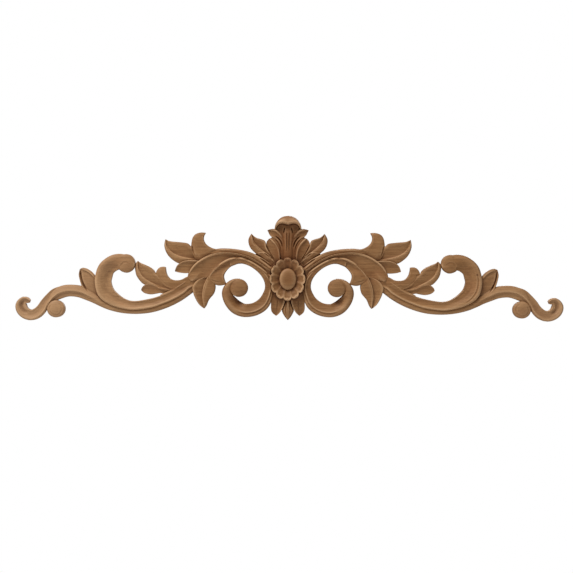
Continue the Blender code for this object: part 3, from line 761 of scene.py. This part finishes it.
@dataclass
class Crown(Ornament):
    """The leafy crown above the rosette, with its hooded bulb."""

    sides: tuple[int, ...] = BOTH_SIDES
    paired: tuple[Element, ...] = (
        Leaf("crown_outer", only(Section.FOLD),
             ((12, 16), (17.5, 21.7), (26.1, 28), (31.1, 32.7), (34.8, 37), (36.4, 45.4)),
             ((12, 20), (20, 29), (22.5, 37.3), (25, 39.2), (28, 40.2), (31.8, 41.4), (34.8, 43.6),
              (36.4, 45.4)),
             ((18, 14), (27, 22.5), (32.7, 26), (37.3, 30.7), (39.4, 36), (39.2, 40.8), (36.4, 45.4)),
             (7, 8.8, 9, 8.8, 8.4, 7.6)),
        Leaf("crown_lower", only(Section.CUP),
             ((12, 13), (18, 17.5), (24, 21.6), (28.5, 24.2), (32.6, 24.9)),
             ((12, 16), (17.7, 22.2), (21.9, 25.9), (25.6, 27.2), (29.6, 26.9), (32.6, 24.9)),
             ((13, 10), (20, 15), (25, 18.9), (29.5, 21.4), (32.6, 24.9)),
             (8.2, 9.2, 9, 8.6, 7.6)),
        Leaf("crown_middle", only(Section.CUP),
             ((11, 16), (14.5, 24), (17, 31), (18.6, 40.6)),
             ((7, 14), (8.3, 23), (9.2, 28), (11, 32.6), (14.4, 37.3), (18.6, 40.6)),
             ((14.4, 17), (18.3, 25.8), (21.4, 32.8), (21.3, 37.2), (18.6, 40.6)),
             (8.8, 9.8, 9.6, 9.2, 8.4)),
        Leaf("crown_tip", only(Section.CUP),
             ((3.4, 22), (4.8, 32), (7.4, 39), (11, 43.6), (15.2, 46.4), (20.7, 48.7)),
             ((2.6, 22), (3.2, 34), (5.4, 41.6), (8.6, 46.6), (11.6, 48.9), (15, 49.7), (18, 49.7),
              (20.7, 48.7)),
             ((5, 20), (6.8, 32), (10, 37.5), (13, 40.8), (16.4, 42.2), (18.5, 44.4), (19.5, 46.6),
              (20.7, 48.7)),
             (7.8, 8.5, 9.4, 10.2, 9.6, 8)),
        Leaf("crown_hood", only(Section.HOOD),
             ((12.8, 46.5), (12.9, 51), (11.5, 54.4), (8.6, 56.7), (5, 57.2), (2.2, 56.8), (-0.8, 56)),
             ((13.2, 46.5), (13.4, 50.5), (12.4, 55), (9.2, 59.6), (4.7, 62.4), (-0.8, 63.2)),
             ((12.3, 46.5), (12.1, 50.4), (10.8, 53), (8.2, 55.1), (5.2, 55.5), (2.4, 54.9), (-0.8, 54)),
             (9.4, 11, 12.6, 13.4, 13.8, 13.8), 1),
    )
    middle: tuple[Element, ...] = (
        Leaf.even("crown_floor", ((0, 8), (0, 26), (0, 45), (0, 61)),
                  ((12, 8), (17, 18), (21.6, 28.5), (21.8, 34), (17, 41), (12.8, 46), (12.7, 51),
                   (10.8, 56.5), (6, 60), (0, 61)), (7.4, 7.8, 8.2, 8.4, 8.6)),
        Stem("crown_spine", only(Section.STRAP), (
            (0, 14, 4.6, 8.8), (0, 30, 4.9, 9.4), (0, 40, 5.3, 9.8), (0, 47, 5.6, 9.4), (0, 52, 5, 8.6),
            (0, 58, 3, 8.4))),
    )
    strokes: tuple[Stroke, ...] = (
        Stroke("spine_line", ((1.05, 27), (1.05, 38), (1.25, 47)), 0.75, 1.2, 0.4, 0.2),
        Stroke("hood_pocket", ((9, 52.6), (7.6, 50), (6.2, 47)), 2.6, 0.5, 0.04, 0.8),
        Stroke("hood_notch", ((3.4, 51.6), (3.9, 49), (4.5, 45.4)), 0.8, 1.5, 0.2, 0.4),
        Stroke("middle_flute", ((3.8, 30), (4.1, 34), (5, 39), (6.8, 43.4)), 0.8, 0.5, 0.5, 0.4),
        Stroke("outer_flute", ((5.4, 31), (6.4, 35.8), (9, 40), (12.8, 43.3)), 1, 1.7, 0.35, 0.35),
        Stroke("tip_flute", ((7, 26), (7.8, 32), (10.2, 37), (13.6, 40.4)), 0.9, 1, 0.5, 0.3),
        Stroke("outer_crease", ((13.6, 19), (18.2, 27), (21.6, 33.8)), 0.8, 1),
        Stroke("leaf_wedge", ((14.8, 11.4), (21.9, 16.8), (27.8, 20.8)), 1, 1.4, 0.1, 0.3),
        Stroke("lower_crease", ((14.7, 18.6), (19, 22.6), (23.5, 25.8)), 0.7, 0.7, 0.2, 0.3),
        Stroke("middle_rib", (
            (18.2, 40.2), (15.5, 38), (12.8, 35), (10.7, 32), (9.3, 27.3), (8.5, 22)), 0.7, -0.5),
        Stroke("tip_rib", (
            (19.4, 47.9), (17.2, 48.6), (14.4, 48.9), (11.2, 47.6), (8.4, 44.8), (6.2, 41)), 0.8, -0.5),
        Stroke("outer_midrib", (
            (36, 41.5), (35.4, 38.4), (31.6, 33.2), (26.4, 28.3), (21.1, 24.2), (17.5, 21)), 0.7, -0.4),
        Stroke("lower_rib", (
            (31.7, 25.4), (29.4, 26), (25.4, 26.3), (21.9, 25), (17.7, 21.4)), 0.7, -0.4),
    )


@dataclass
class Pendant(Ornament):
    """The three short leaves below the rosette."""

    sides: tuple[int, ...] = BOTH_SIDES
    paired: tuple[Element, ...] = (
        Leaf("pendant_side", only(Section.CUP),
             ((10, -14), (10.5, -24), (11, -30), (11.7, -36.7)),
             ((4, -14), (3.2, -22), (4.6, -27.5), (6.8, -31.8), (8.8, -34.4), (11.7, -36.7)),
             ((17, -14), (16.9, -24.3), (16.9, -29.5), (15.6, -33.4), (11.7, -36.7)),
             (9.2, 9.2, 8.8, 7.6)),
    )
    middle: tuple[Element, ...] = (
        Leaf.even("pendant_middle", ((0, -16), (0, -24), (0, -32), (0, -41)),
                  ((1.5, -16), (2, -23), (5.4, -29.5), (5.9, -32), (3.4, -37), (0, -41)),
                  (8.8, 8.6, 8.2, 7)),
        Dome("pendant_floor", 0, -23, 8.5, 10.5, 4.6, 5.2),
    )
    strokes: tuple[Stroke, ...] = (
        Stroke("side_groove", ((10.2, -20), (10.6, -27), (11.2, -33)), 0.9, 0.5, 0.2, 0.5),
        Stroke("middle_groove", ((1.5, -22), (1.9, -27), (2.4, -32), (1.4, -36.5)), 0.8, 0.7, 0.2, 0.5),
    )


@dataclass
class Rosette:
    """The oval rosette: a ring of hollow petals about a smooth dome."""

    petals: int = 12
    ring_shift: float = -0.4
    half_width: float = 17.9
    half_height: float = 21.4
    petal_crests: tuple[float, ...] = (8.2, 9.0, 9.7, 10.6, 11.7, 12.3, 12.8, 11.6)
    petal_sections: Sections = ((0.0, Section.PETAL), (0.7, Section.PETAL), (0.93, Section.RIM))
    petal_rib: tuple[float, ...] = (0.36, 0.5, 0.8, 1.0)
    petal_side: tuple[tuple[float, float], ...] = (
        (0.36, 1.04), (0.5, 1.04), (0.84, 1.04), (0.945, 0.78), (0.99, 0.4), (1.0, 0.1))
    petal_round: float = 0.6
    petal_step: float = 0.9
    dome: Dome = Dome("rosette_dome", 0, 0, 8.6, 10.9, 8.6, 11.9, 4.4, 96, 20)
    back: Dome = Dome("rosette_back", 0, 0, 20, 22, 7, 7.6, 2.0, 96, 6)

    def petal(self) -> Leaf:
        """Return the upright petal, before the ring is narrowed to an oval."""
        half = math.pi / self.petals

        def edge(sign: int) -> tuple:
            return tuple((reach * math.sin(sign * aside * half) * self.half_height,
                          reach * math.cos(sign * aside * half) * self.half_height)
                         for reach, aside in self.petal_side)

        rib = tuple((0.0, reach * self.half_height) for reach in self.petal_rib)
        return Leaf("petal", self.petal_sections, rib, edge(-1), edge(1), self.petal_crests, 1.0)

    @staticmethod
    def ring_tree() -> bpy.types.NodeTree:
        """Build the node tree that repeats a petal around the rosette and joins the ring."""
        tree = bpy.data.node_groups.new("petal_ring", "GeometryNodeTree")
        for name, kind in (("Petal", "Geometry"), ("Count", "Int"), ("Narrowing", "Float"),
                           ("Shift", "Vector"), ("Wood", "Material")):
            tree.interface.new_socket(name, in_out="INPUT", socket_type=f"NodeSocket{kind}")
        tree.interface.new_socket("Ring", in_out="OUTPUT", socket_type="NodeSocketGeometry")
        wiring = Wiring(tree)
        given = wiring.put("NodeGroupInput", {}).outputs
        points = wiring.out("GeometryNodePoints", {"Count": given["Count"]})
        index = wiring.out("GeometryNodeInputIndex", {})
        share = wiring.out("ShaderNodeMath", {0: index, 1: given["Count"]}, operation="DIVIDE")
        angle = wiring.out("ShaderNodeMath", {0: share, 1: math.tau}, operation="MULTIPLY")
        turn = wiring.out("ShaderNodeCombineXYZ", {"Y": angle})
        placed = wiring.out("GeometryNodeInstanceOnPoints",
                            {"Points": points, "Instance": given["Petal"], "Rotation": turn})
        ring = wiring.out("GeometryNodeMeshBoolean", {"Mesh 2": placed}, operation="UNION",
                          solver="MANIFOLD")
        squeeze = wiring.out("ShaderNodeCombineXYZ", {"X": given["Narrowing"], "Y": 1.0, "Z": 1.0})
        oval = wiring.out("GeometryNodeTransform",
                          {"Geometry": ring, "Scale": squeeze, "Translation": given["Shift"]})
        real = wiring.out("GeometryNodeRealizeInstances", {"Geometry": oval})
        dressed = wiring.out("GeometryNodeSetMaterial", {"Geometry": real, "Material": given["Wood"]})
        wiring.put("NodeGroupOutput", {"Ring": dressed})
        return tree

    def carve(self, chisel: Chisel, wood: bpy.types.Material) -> None:
        """Cut the ring of petals and the dome.

        Args:
            chisel: the cutter that keeps every solid.
            wood: the material that the ring wears.
        """
        chisel.shape(self.back, 1)
        petal = Chisel(station_step=self.petal_step, edge_round=self.petal_round).shape(self.petal(), 1)
        chisel.cut.append(petal)
        tree = self.ring_tree()
        modifier = petal.modifiers.new("petal_ring", "NODES")
        modifier.node_group = tree
        given = {"Count": self.petals, "Narrowing": self.half_width / self.half_height,
                 "Shift": (self.ring_shift * MM, 0.0, 0.0), "Wood": wood}
        for item in tree.interface.items_tree:
            if item.in_out == "INPUT" and item.name in given:
                modifier[item.identifier] = given[item.name]
        ring = plain_mesh(petal)
        petal.modifiers.remove(modifier)
        petal.data = ring
        chisel.shape(self.dome, 1)


@dataclass(frozen=True)
class Figure:
    """A pattern in the wood: the scale of its noise, its detail and the range it spreads over."""

    scale: Triple
    detail: float
    low: float
    high: float


@dataclass(frozen=True)
class SandedWood:
    """Bare sanded hardwood with its grain along the length, with painted shade in hollows and under the
    crown's hood, a painted highlight on proud edges and painted light on the left wing.

    A share is how much of a pattern shows. A reach is where a tone starts, where it is
    full and how much of it shows there.
    """

    pale: Triple = (0.43, 0.230, 0.097)
    middle: Triple = (0.30, 0.144, 0.052)
    deep: Triple = (0.20, 0.086, 0.027)
    red: Triple = (0.29, 0.110, 0.038)
    tip: Triple = (0.45, 0.265, 0.140)
    heart: Triple = (0.15, 0.056, 0.016)
    # Dark tone of the pores and the knot, also used as painted shade in hollows.
    hollow: Triple = (0.095, 0.028, 0.006)
    # Pale tone of the sanded edges, also used as a painted highlight on proud points.
    edge: Triple = (0.66, 0.41, 0.22)
    # Dark red of the crown patch: partly redder wood, partly painted shade under the hood.
    crown_red_shade: Triple = (0.170, 0.050, 0.009)
    broad_tone: Figure = Figure((9, 9, 22), 3, 0.35, 0.65)
    mottle: Figure = Figure((70, 110, 150), 3, 0.35, 0.70)
    streaks: Figure = Figure((28, 420, 620), 4, 0.38, 0.72)
    ruddy: Figure = Figure((34, 60, 80), 2, 0.48, 0.72)
    pores: Figure = Figure((160, 2200, 2200), 1, 0.60, 0.72)
    red_share: float = 0.6
    mottle_share: float = 0.35
    streak_share: float = 0.78
    pore_share: float = 0.35
    tip_reach: Triple = (0.14, 0.36, 1.0)
    heart_reach: Triple = (0.14, 0.0, 0.42)
    knot_reach: Triple = (0.0014, 0.0006, 0.8)
    # Reach of the pale edge tone: paler sanded edges and painted highlight.
    worn_edge_and_highlight_reach: Triple = (0.05, 0.8, 0.58)
    # Reach of the crown patch, partly redder wood and partly painted shade under the hood.
    crown_shade_reach: Triple = (0.029, 0.014, 0.62)
    # Reach of the painted shade laid on points sunk below the carving around them.
    painted_shade_reach: Triple = (0.0, 0.8, 1.0)
    noise_roughness: float = 0.6
    roughness: float = 0.58
    specular: float = 0.24
    bump: float = 0.00012
    bump_strength: float = 0.5
    # Moves the middle of the pale-ends ramp to the right, which paints extra light on the left wing as if
    # lit from the left.
    left_light_shift: float = -0.03
    pin_knot: Triple = (0.1884, 0.0, 0.0046)
    knot_scale: Triple = (1.0, 0.0, 1.0)
    # Middle and stretch of the crown patch of painted shade and redder wood.
    crown_middle: Triple = (0.0, -0.0285, 0.030)
    crown_shade_scale: Triple = (1.7, 3.0, 1.0)

    def material(self) -> bpy.types.Material:
        """Build the node material, one layer of colour over another."""
        material = bpy.data.materials.new("sanded_wood")
        material.use_nodes = True
        wiring = Wiring(material.node_tree)
        place = wiring.out("ShaderNodeTexCoord", {}, "Object")

        def ramp(source: bpy.types.NodeSocket, low: float, high: float,
                 most: float = 1.0) -> bpy.types.NodeSocket:
            return wiring.out("ShaderNodeMapRange", {"Value": source, "From Min": low, "From Max": high,
                                                     "To Max": most}, "Result")

        def figure(name: str) -> bpy.types.NodeSocket:
            kind = getattr(self, name)
            stretched = wiring.out("ShaderNodeMapping", {"Vector": place, "Scale": kind.scale})
            noise = wiring.out("ShaderNodeTexNoise", {
                "Vector": stretched, "Scale": 1.0, "Detail": kind.detail,
                "Roughness": self.noise_roughness}, "Fac", name=name)
            return ramp(noise, kind.low, kind.high)

        def outward(shift: float) -> bpy.types.NodeSocket:
            along = wiring.out("ShaderNodeSeparateXYZ", {"Vector": place}, "X")
            moved = wiring.out("ShaderNodeMath", {0: along, 1: shift}, operation="ADD")
            return wiring.out("ShaderNodeMath", {0: moved}, operation="ABSOLUTE")

        def away(centre: Triple, scale: Triple) -> bpy.types.NodeSocket:
            scaled = wiring.out("ShaderNodeMapping", {"Vector": place, "Scale": scale})
            return wiring.out("ShaderNodeVectorMath", {0: scaled, 1: centre}, "Value",
                              operation="DISTANCE")

        def measured(name: str) -> bpy.types.NodeSocket:
            return wiring.out("ShaderNodeAttribute", {}, "Fac", attribute_name=name)

        def share(source: bpy.types.NodeSocket, part: float) -> bpy.types.NodeSocket:
            return wiring.out("ShaderNodeMath", {0: source, 1: part}, operation="MULTIPLY")

        streaks, pores = figure("streaks"), figure("pores")
        layers = (
            (figure("broad_tone"), self.middle),
            (share(figure("ruddy"), self.red_share), self.red),
            (share(figure("mottle"), self.mottle_share), self.pale),
            (share(streaks, self.streak_share), self.deep),
            # Paler toward both ends; the shift paints extra light on the left wing, as if lit from the
            # left.
            (ramp(outward(self.left_light_shift), *self.tip_reach), self.tip),
            (ramp(outward(0.0), *self.heart_reach), self.heart),
            (share(pores, self.pore_share), self.hollow),
            (ramp(away(self.pin_knot, self.knot_scale), *self.knot_reach), self.hollow),
            # Paler sanded edges and painted highlight: points raised above the carving around them get the
            # pale edge tone.
            (ramp(measured("proud"), *self.worn_edge_and_highlight_reach), self.edge),
            # Darker, redder patch over the crown: partly redder wood, partly painted shade under the hood.
            (ramp(away(self.crown_middle, self.crown_shade_scale), *self.crown_shade_reach), self.crown_red_shade),
            # Painted shade: points sunk below the carving around them get the dark tone.
            (ramp(measured("hollow"), *self.painted_shade_reach), self.hollow),
        )
        colour = (*self.pale, 1.0)
        for factor, tone in layers:
            colour = wiring.out("ShaderNodeMix", {"Factor": factor, "A": colour, "B": (*tone, 1.0)},
                                "Result", data_type="RGBA")
        height = wiring.out("ShaderNodeMath", {0: streaks, 1: pores}, operation="SUBTRACT")
        relief = wiring.out("ShaderNodeBump", {"Strength": self.bump_strength, "Distance": self.bump,
                                               "Height": height})
        wiring.feed(material.node_tree.nodes["Principled BSDF"], {
            "Base Color": colour, "Roughness": self.roughness, "Specular IOR Level": self.specular,
            "Normal": relief})
        return material


@dataclass
class Applique:
    """The whole carving: its elements joined, planed at the back and dressed."""

    sharp_angle: float = math.radians(40)
    weld_gap: float = 0.0005
    cell: float = 0.55
    margin: float = 12.0
    beyond: float = 4.0
    back_zone: float = 0.5
    eye: float = 50.0
    clear_cells: float = 1.001
    least_cover: float = 1e-3
    # Blur, weight and depth of each scale of the painted-shade mask.
    painted_shade_scales: tuple[Triple, ...] = ((1.2, 0.30, 0.9), (2.6, 0.35, 2.0), (6.0, 0.35, 3.5))
    # Blur, weight and height of each scale of the mask for paler sanded edges and painted highlight.
    worn_edge_and_highlight_scales: tuple[Triple, ...] = ((1.0, 0.75, 0.55), (2.4, 0.25, 1.5))

    def carve(self, wood: bpy.types.Material) -> bpy.types.Object:
        """Cut and join every element into one closed piece.

        Args:
            wood: the finish.

        Returns:
            The finished piece.
        """
        chisel = Chisel()
        ornaments = (Wing((1,)), Wing((-1,)), Crown(), Pendant())
        for ornament in ornaments:
            ornament.carve(chisel)
        Rosette().carve(chisel, wood)
        rough = self.join(chisel.cut)
        liner = Liner(surface_tree(rough.data))
        for ornament in ornaments:
            ornament.draw(liner)
        piece = self.finish(rough, liner)
        mesh = piece.data
        mesh.name = PIECE
        self.weld(mesh)
        mesh.materials.clear()
        mesh.materials.append(wood)
        # Marks where shade and highlight are painted into the wood's colour.
        self.mark_painted_light(mesh)
        mesh.shade_smooth()
        mesh.set_sharp_from_angle(angle=self.sharp_angle)
        LOG.info("%s: %d triangles", piece.name, sum(len(face.vertices) - 2 for face in mesh.polygons))
        return piece

    @staticmethod
    def gather(name: str, solids: list[bpy.types.Object]) -> bpy.types.Collection:
        """Put solids in a collection of their own."""
        group = bpy.data.collections.new(name)
        bpy.context.scene.collection.children.link(group)
        for item in solids:
            bpy.context.scene.collection.objects.unlink(item)
            group.objects.link(item)
        return group

    @staticmethod
    def combine(body: bpy.types.Object, operation: str, other: bpy.types.ID) -> None:
        """Add a Boolean modifier that takes a collection or an object."""
        modifier = body.modifiers.new(operation.lower(), "BOOLEAN")
        modifier.operation = operation
        modifier.solver = "MANIFOLD"
        if isinstance(other, bpy.types.Collection):
            modifier.operand_type = "COLLECTION"
            modifier.collection = other
        else:
            modifier.object = other

    @staticmethod
    def settle(body: bpy.types.Object, used: list[bpy.types.Object], name: str) -> bpy.types.Object:
        """Replace a body and what it was combined with by its evaluated mesh.

        Args:
            body: the object with live modifiers.
            used: the objects that it was combined with.
            name: the new object's name.

        Returns:
            The new object.
        """
        mesh = plain_mesh(body)
        groups = {group for item in used for group in item.users_collection}
        for item in {*used, body}:
            bpy.data.objects.remove(item, do_unlink=True)
        for group in groups - {bpy.context.scene.collection}:
            bpy.data.collections.remove(group)
        return linked_object(name, mesh)

    def join(self, solids: list[bpy.types.Object]) -> bpy.types.Object:
        """Unite the solids into one rough carving."""
        body = solids[-1]
        self.combine(body, "UNION", self.gather("carved_elements", solids[:-1]))
        return self.settle(body, solids, "rough_carving")

    def finish(self, rough: bpy.types.Object, liner: Liner) -> bpy.types.Object:
        """Add the beads, cut the grooves and plane the back flat.

        Args:
            rough: the joined carving.
            liner: the strokes drawn on it.

        Returns:
            The finished carving.
        """
        behind = bmesh.new()
        bmesh.ops.create_cube(behind, size=1.0)
        bmesh.ops.translate(behind, vec=BACKWARD / 2, verts=behind.verts)
        block = shaped_object("plane_block", behind)
        self.combine(rough, "UNION", self.gather("beads", liner.beads))
        self.combine(rough, "DIFFERENCE", self.gather("grooves", liner.grooves))
        self.combine(rough, "DIFFERENCE", block)
        return self.settle(rough, [*liner.beads, *liner.grooves, block], PIECE)

    def weld(self, mesh: bpy.types.Mesh) -> None:
        """Merge points that the cuts left almost on top of each other.

        Faces that then stand back to back, or hang on by one edge, are dropped.

        Args:
            mesh: the finished carving, which is cut into triangles first and stays closed.
        """
        shape = bmesh.new()
        shape.from_mesh(mesh)
        bmesh.ops.triangulate(shape, faces=shape.faces)
        bmesh.ops.remove_doubles(shape, verts=shape.verts, dist=self.weld_gap * MM)
        bmesh.ops.dissolve_degenerate(shape, dist=self.weld_gap * MM, edges=shape.edges)
        shape.verts.index_update()
        standing = {}
        for face in shape.faces:
            standing.setdefault(frozenset(vert.index for vert in face.verts), []).append(face)
        doubled = [face for faces in standing.values() if len(faces) > 1 for face in faces]
        bmesh.ops.delete(shape, geom=doubled, context="FACES")
        flaps = [face for face in shape.faces if sum(edge.is_boundary for edge in face.edges) > 1]
        bmesh.ops.delete(shape, geom=flaps, context="FACES")
        shape.to_mesh(mesh)
        shape.free()

    def survey(self, tree: BVHTree, low: np.ndarray, wide: int, tall: int) -> tuple[np.ndarray, np.ndarray]:
        """Measure the carving's relief on a grid.

        Args:
            tree: the carving's surface.
            low: the grid's lowest corner.
            wide: how many cells it has along the length.
            tall: how many it has up the wall.

        Returns:
            The relief of each cell, and 1 where there is wood.
        """
        relief = np.zeros((tall, wide))
        solid = np.zeros((tall, wide))
        for row in range(tall):
            z = (low[2] + row * self.cell) * MM
            for column in range(wide):
                x = (low[0] + column * self.cell) * MM
                hit = tree.ray_cast(Vector((x, -self.eye * MM, z)), BACKWARD)[0]
                if hit is not None:
                    relief[row, column] = -hit.y / MM
                    solid[row, column] = 1.0
        return relief, solid

    def mark_painted_light(self, mesh: bpy.types.Mesh) -> None:
        """Store how far each point lies below or above the carving around it, to place painted shade and
        painted highlight.

        Args:
            mesh: the joined carving, which gains two float attributes, hollow (the mask of painted shade)
                and proud (the mask of paler sanded edges and painted highlight).
        """
        flat = np.empty(len(mesh.vertices) * 3)
        mesh.vertices.foreach_get("co", flat)
        points = flat.reshape(-1, 3) / MM
        low = points.min(axis=0) - self.margin
        high = points.max(axis=0) + self.margin
        wide = int((high[0] - low[0]) / self.cell) + 1
        tall = int((high[2] - low[2]) / self.cell) + 1
        relief, solid = self.survey(surface_tree(mesh), low, wide, tall)
        column = np.clip((points[:, 0] - low[0]) / self.cell, 0, wide - self.clear_cells)
        row = np.clip((points[:, 2] - low[2]) / self.cell, 0, tall - self.clear_cells)
        filled = relief + self.beyond * (1 - solid)

        def level(blur: float) -> np.ndarray:
            return soften(filled, blur)

        def wood_level(blur: float) -> np.ndarray:
            return soften(relief, blur) / np.maximum(soften(solid, blur), self.least_cover)

        # hollow places the painted shade, proud the paler sanded edges and painted highlight.
        for name, sign, scales, around in (("hollow", 1, self.painted_shade_scales, level),
                                           ("proud", -1, self.worn_edge_and_highlight_scales, wood_level)):
            total = np.zeros(len(points))
            for blur, weight, depth in scales:
                sunk = sign * (sample(around(blur / self.cell), row, column) + points[:, 1])
                total += weight * np.clip(sunk / depth, 0, 1)
            total[points[:, 1] > -self.back_zone] = 0.0
            attribute = mesh.attributes.new(name, "FLOAT", "POINT")
            attribute.data.foreach_set("value", total.astype(np.float32))


def soften(grid: np.ndarray, sigma: float) -> np.ndarray:
    """Blur a grid with a bell of the given width in cells."""
    radius = int(3 * sigma) + 1
    bell = np.exp(-0.5 * (np.arange(-radius, radius + 1) / sigma) ** 2)
    bell /= bell.sum()
    for axis in (1, 0):
        grid = np.apply_along_axis(lambda line: np.convolve(line, bell, mode="same"), axis, grid)
    return grid


def sample(grid: np.ndarray, row: np.ndarray, column: np.ndarray) -> np.ndarray:
    """Read a grid between its cells."""
    top = row.astype(int)
    left = column.astype(int)
    down = row - top
    across = column - left
    upper = grid[top, left] * (1 - across) + grid[top, left + 1] * across
    lower = grid[top + 1, left] * (1 - across) + grid[top + 1, left + 1] * across
    return upper * (1 - down) + lower * down


@dataclass(frozen=True)
class Lamp:
    """A square soft light: its place, side and power."""

    name: str
    place: Triple
    size: float
    power: float


@dataclass
class Studio:
    """The pale floor, the soft light and the camera."""

    frame_mm: float = 573.0
    lens_mm: float = 85.0
    sensor_mm: float = 36.0
    crest_plane: float = 3.0
    centre: tuple[float, float] = (-1.4, -7.32)
    roll: float = math.radians(0.15)
    floor_z: float = -0.34
    floor_size: float = 2.4
    floor_behind: float = 0.10
    floor_colour: tuple[float, float, float, float] = (0.82, 0.82, 0.81, 1.0)
    floor_roughness: float = 0.9
    glow: float = 0.32
    lamps: tuple[Lamp, ...] = (
        Lamp("key", (-0.58, -0.62, 1.25), 0.6, 21.6),
        Lamp("back_fill", (0.35, 1.10, 0.60), 0.8, 9.0),
    )

    def build(self) -> None:
        """Set up floor, world, lights and camera."""
        self.floor()
        self.world()
        for lamp in self.lamps:
            self.light(lamp)
        self.camera()
        bpy.context.scene.view_settings.view_transform = "Standard"

    def floor(self) -> None:
        """Lay the floor, which ends a little behind the carving so that the camera clears it."""
        shape = bmesh.new()
        bmesh.ops.create_grid(shape, x_segments=1, y_segments=1, size=self.floor_size / 2)
        middle = self.floor_behind - self.floor_size / 2
        bmesh.ops.translate(shape, vec=(0, middle, self.floor_z), verts=shape.verts)
        floor = shaped_object("studio_floor", shape)
        material = bpy.data.materials.new("pale_floor")
        material.use_nodes = True
        Wiring(material.node_tree).feed(material.node_tree.nodes["Principled BSDF"], {
            "Base Color": self.floor_colour, "Roughness": self.floor_roughness})
        floor.data.materials.append(material)

    def world(self) -> None:
        """Make the surroundings white to the eye and dimmer as a light."""
        world = bpy.data.worlds.new("studio")
        bpy.context.scene.world = world
        world.use_nodes = True
        nodes = world.node_tree.nodes
        wiring = Wiring(world.node_tree)
        wiring.feed(nodes["Background"], {"Color": WHITE, "Strength": 1.0})
        glow = wiring.out("ShaderNodeBackground", {"Color": WHITE, "Strength": self.glow})
        seen = wiring.out("ShaderNodeLightPath", {}, "Is Camera Ray")
        chosen = wiring.out("ShaderNodeMixShader",
                            {"Fac": seen, 1: glow, 2: nodes["Background"].outputs["Background"]})
        wiring.feed(nodes["World Output"], {"Surface": chosen})

    @staticmethod
    def light(lamp: Lamp) -> None:
        """Hang one light that faces the carving."""
        data = bpy.data.lights.new(lamp.name, "AREA")
        data.shape = "SQUARE"
        data.size = lamp.size
        data.energy = lamp.power
        hung = linked_object(lamp.name, data)
        hung.location = lamp.place
        hung.rotation_euler = (-Vector(lamp.place)).to_track_quat("-Z", "Y").to_euler()

    def camera(self) -> None:
        """Stand the camera square to the carving, turned by the photograph's slight roll."""
        data = bpy.data.cameras.new("camera")
        data.lens = self.lens_mm
        data.sensor_width = self.sensor_mm
        camera = linked_object("camera", data)
        distance = self.frame_mm * self.lens_mm / self.sensor_mm + self.crest_plane
        camera.location = (self.centre[0] * MM, -distance * MM, self.centre[1] * MM)
        camera.rotation_euler = (math.pi / 2, -self.roll, 0)
        bpy.context.scene.camera = camera


def main() -> None:
    """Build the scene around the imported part."""
    logging.basicConfig(level=logging.INFO, format="%(name)s %(message)s")
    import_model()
    wood = SandedWood().material()
    piece = Applique().carve(wood)
    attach(piece, BODY)
    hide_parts(NODE)
    Studio().build()


if __name__ == "__main__":
    main()
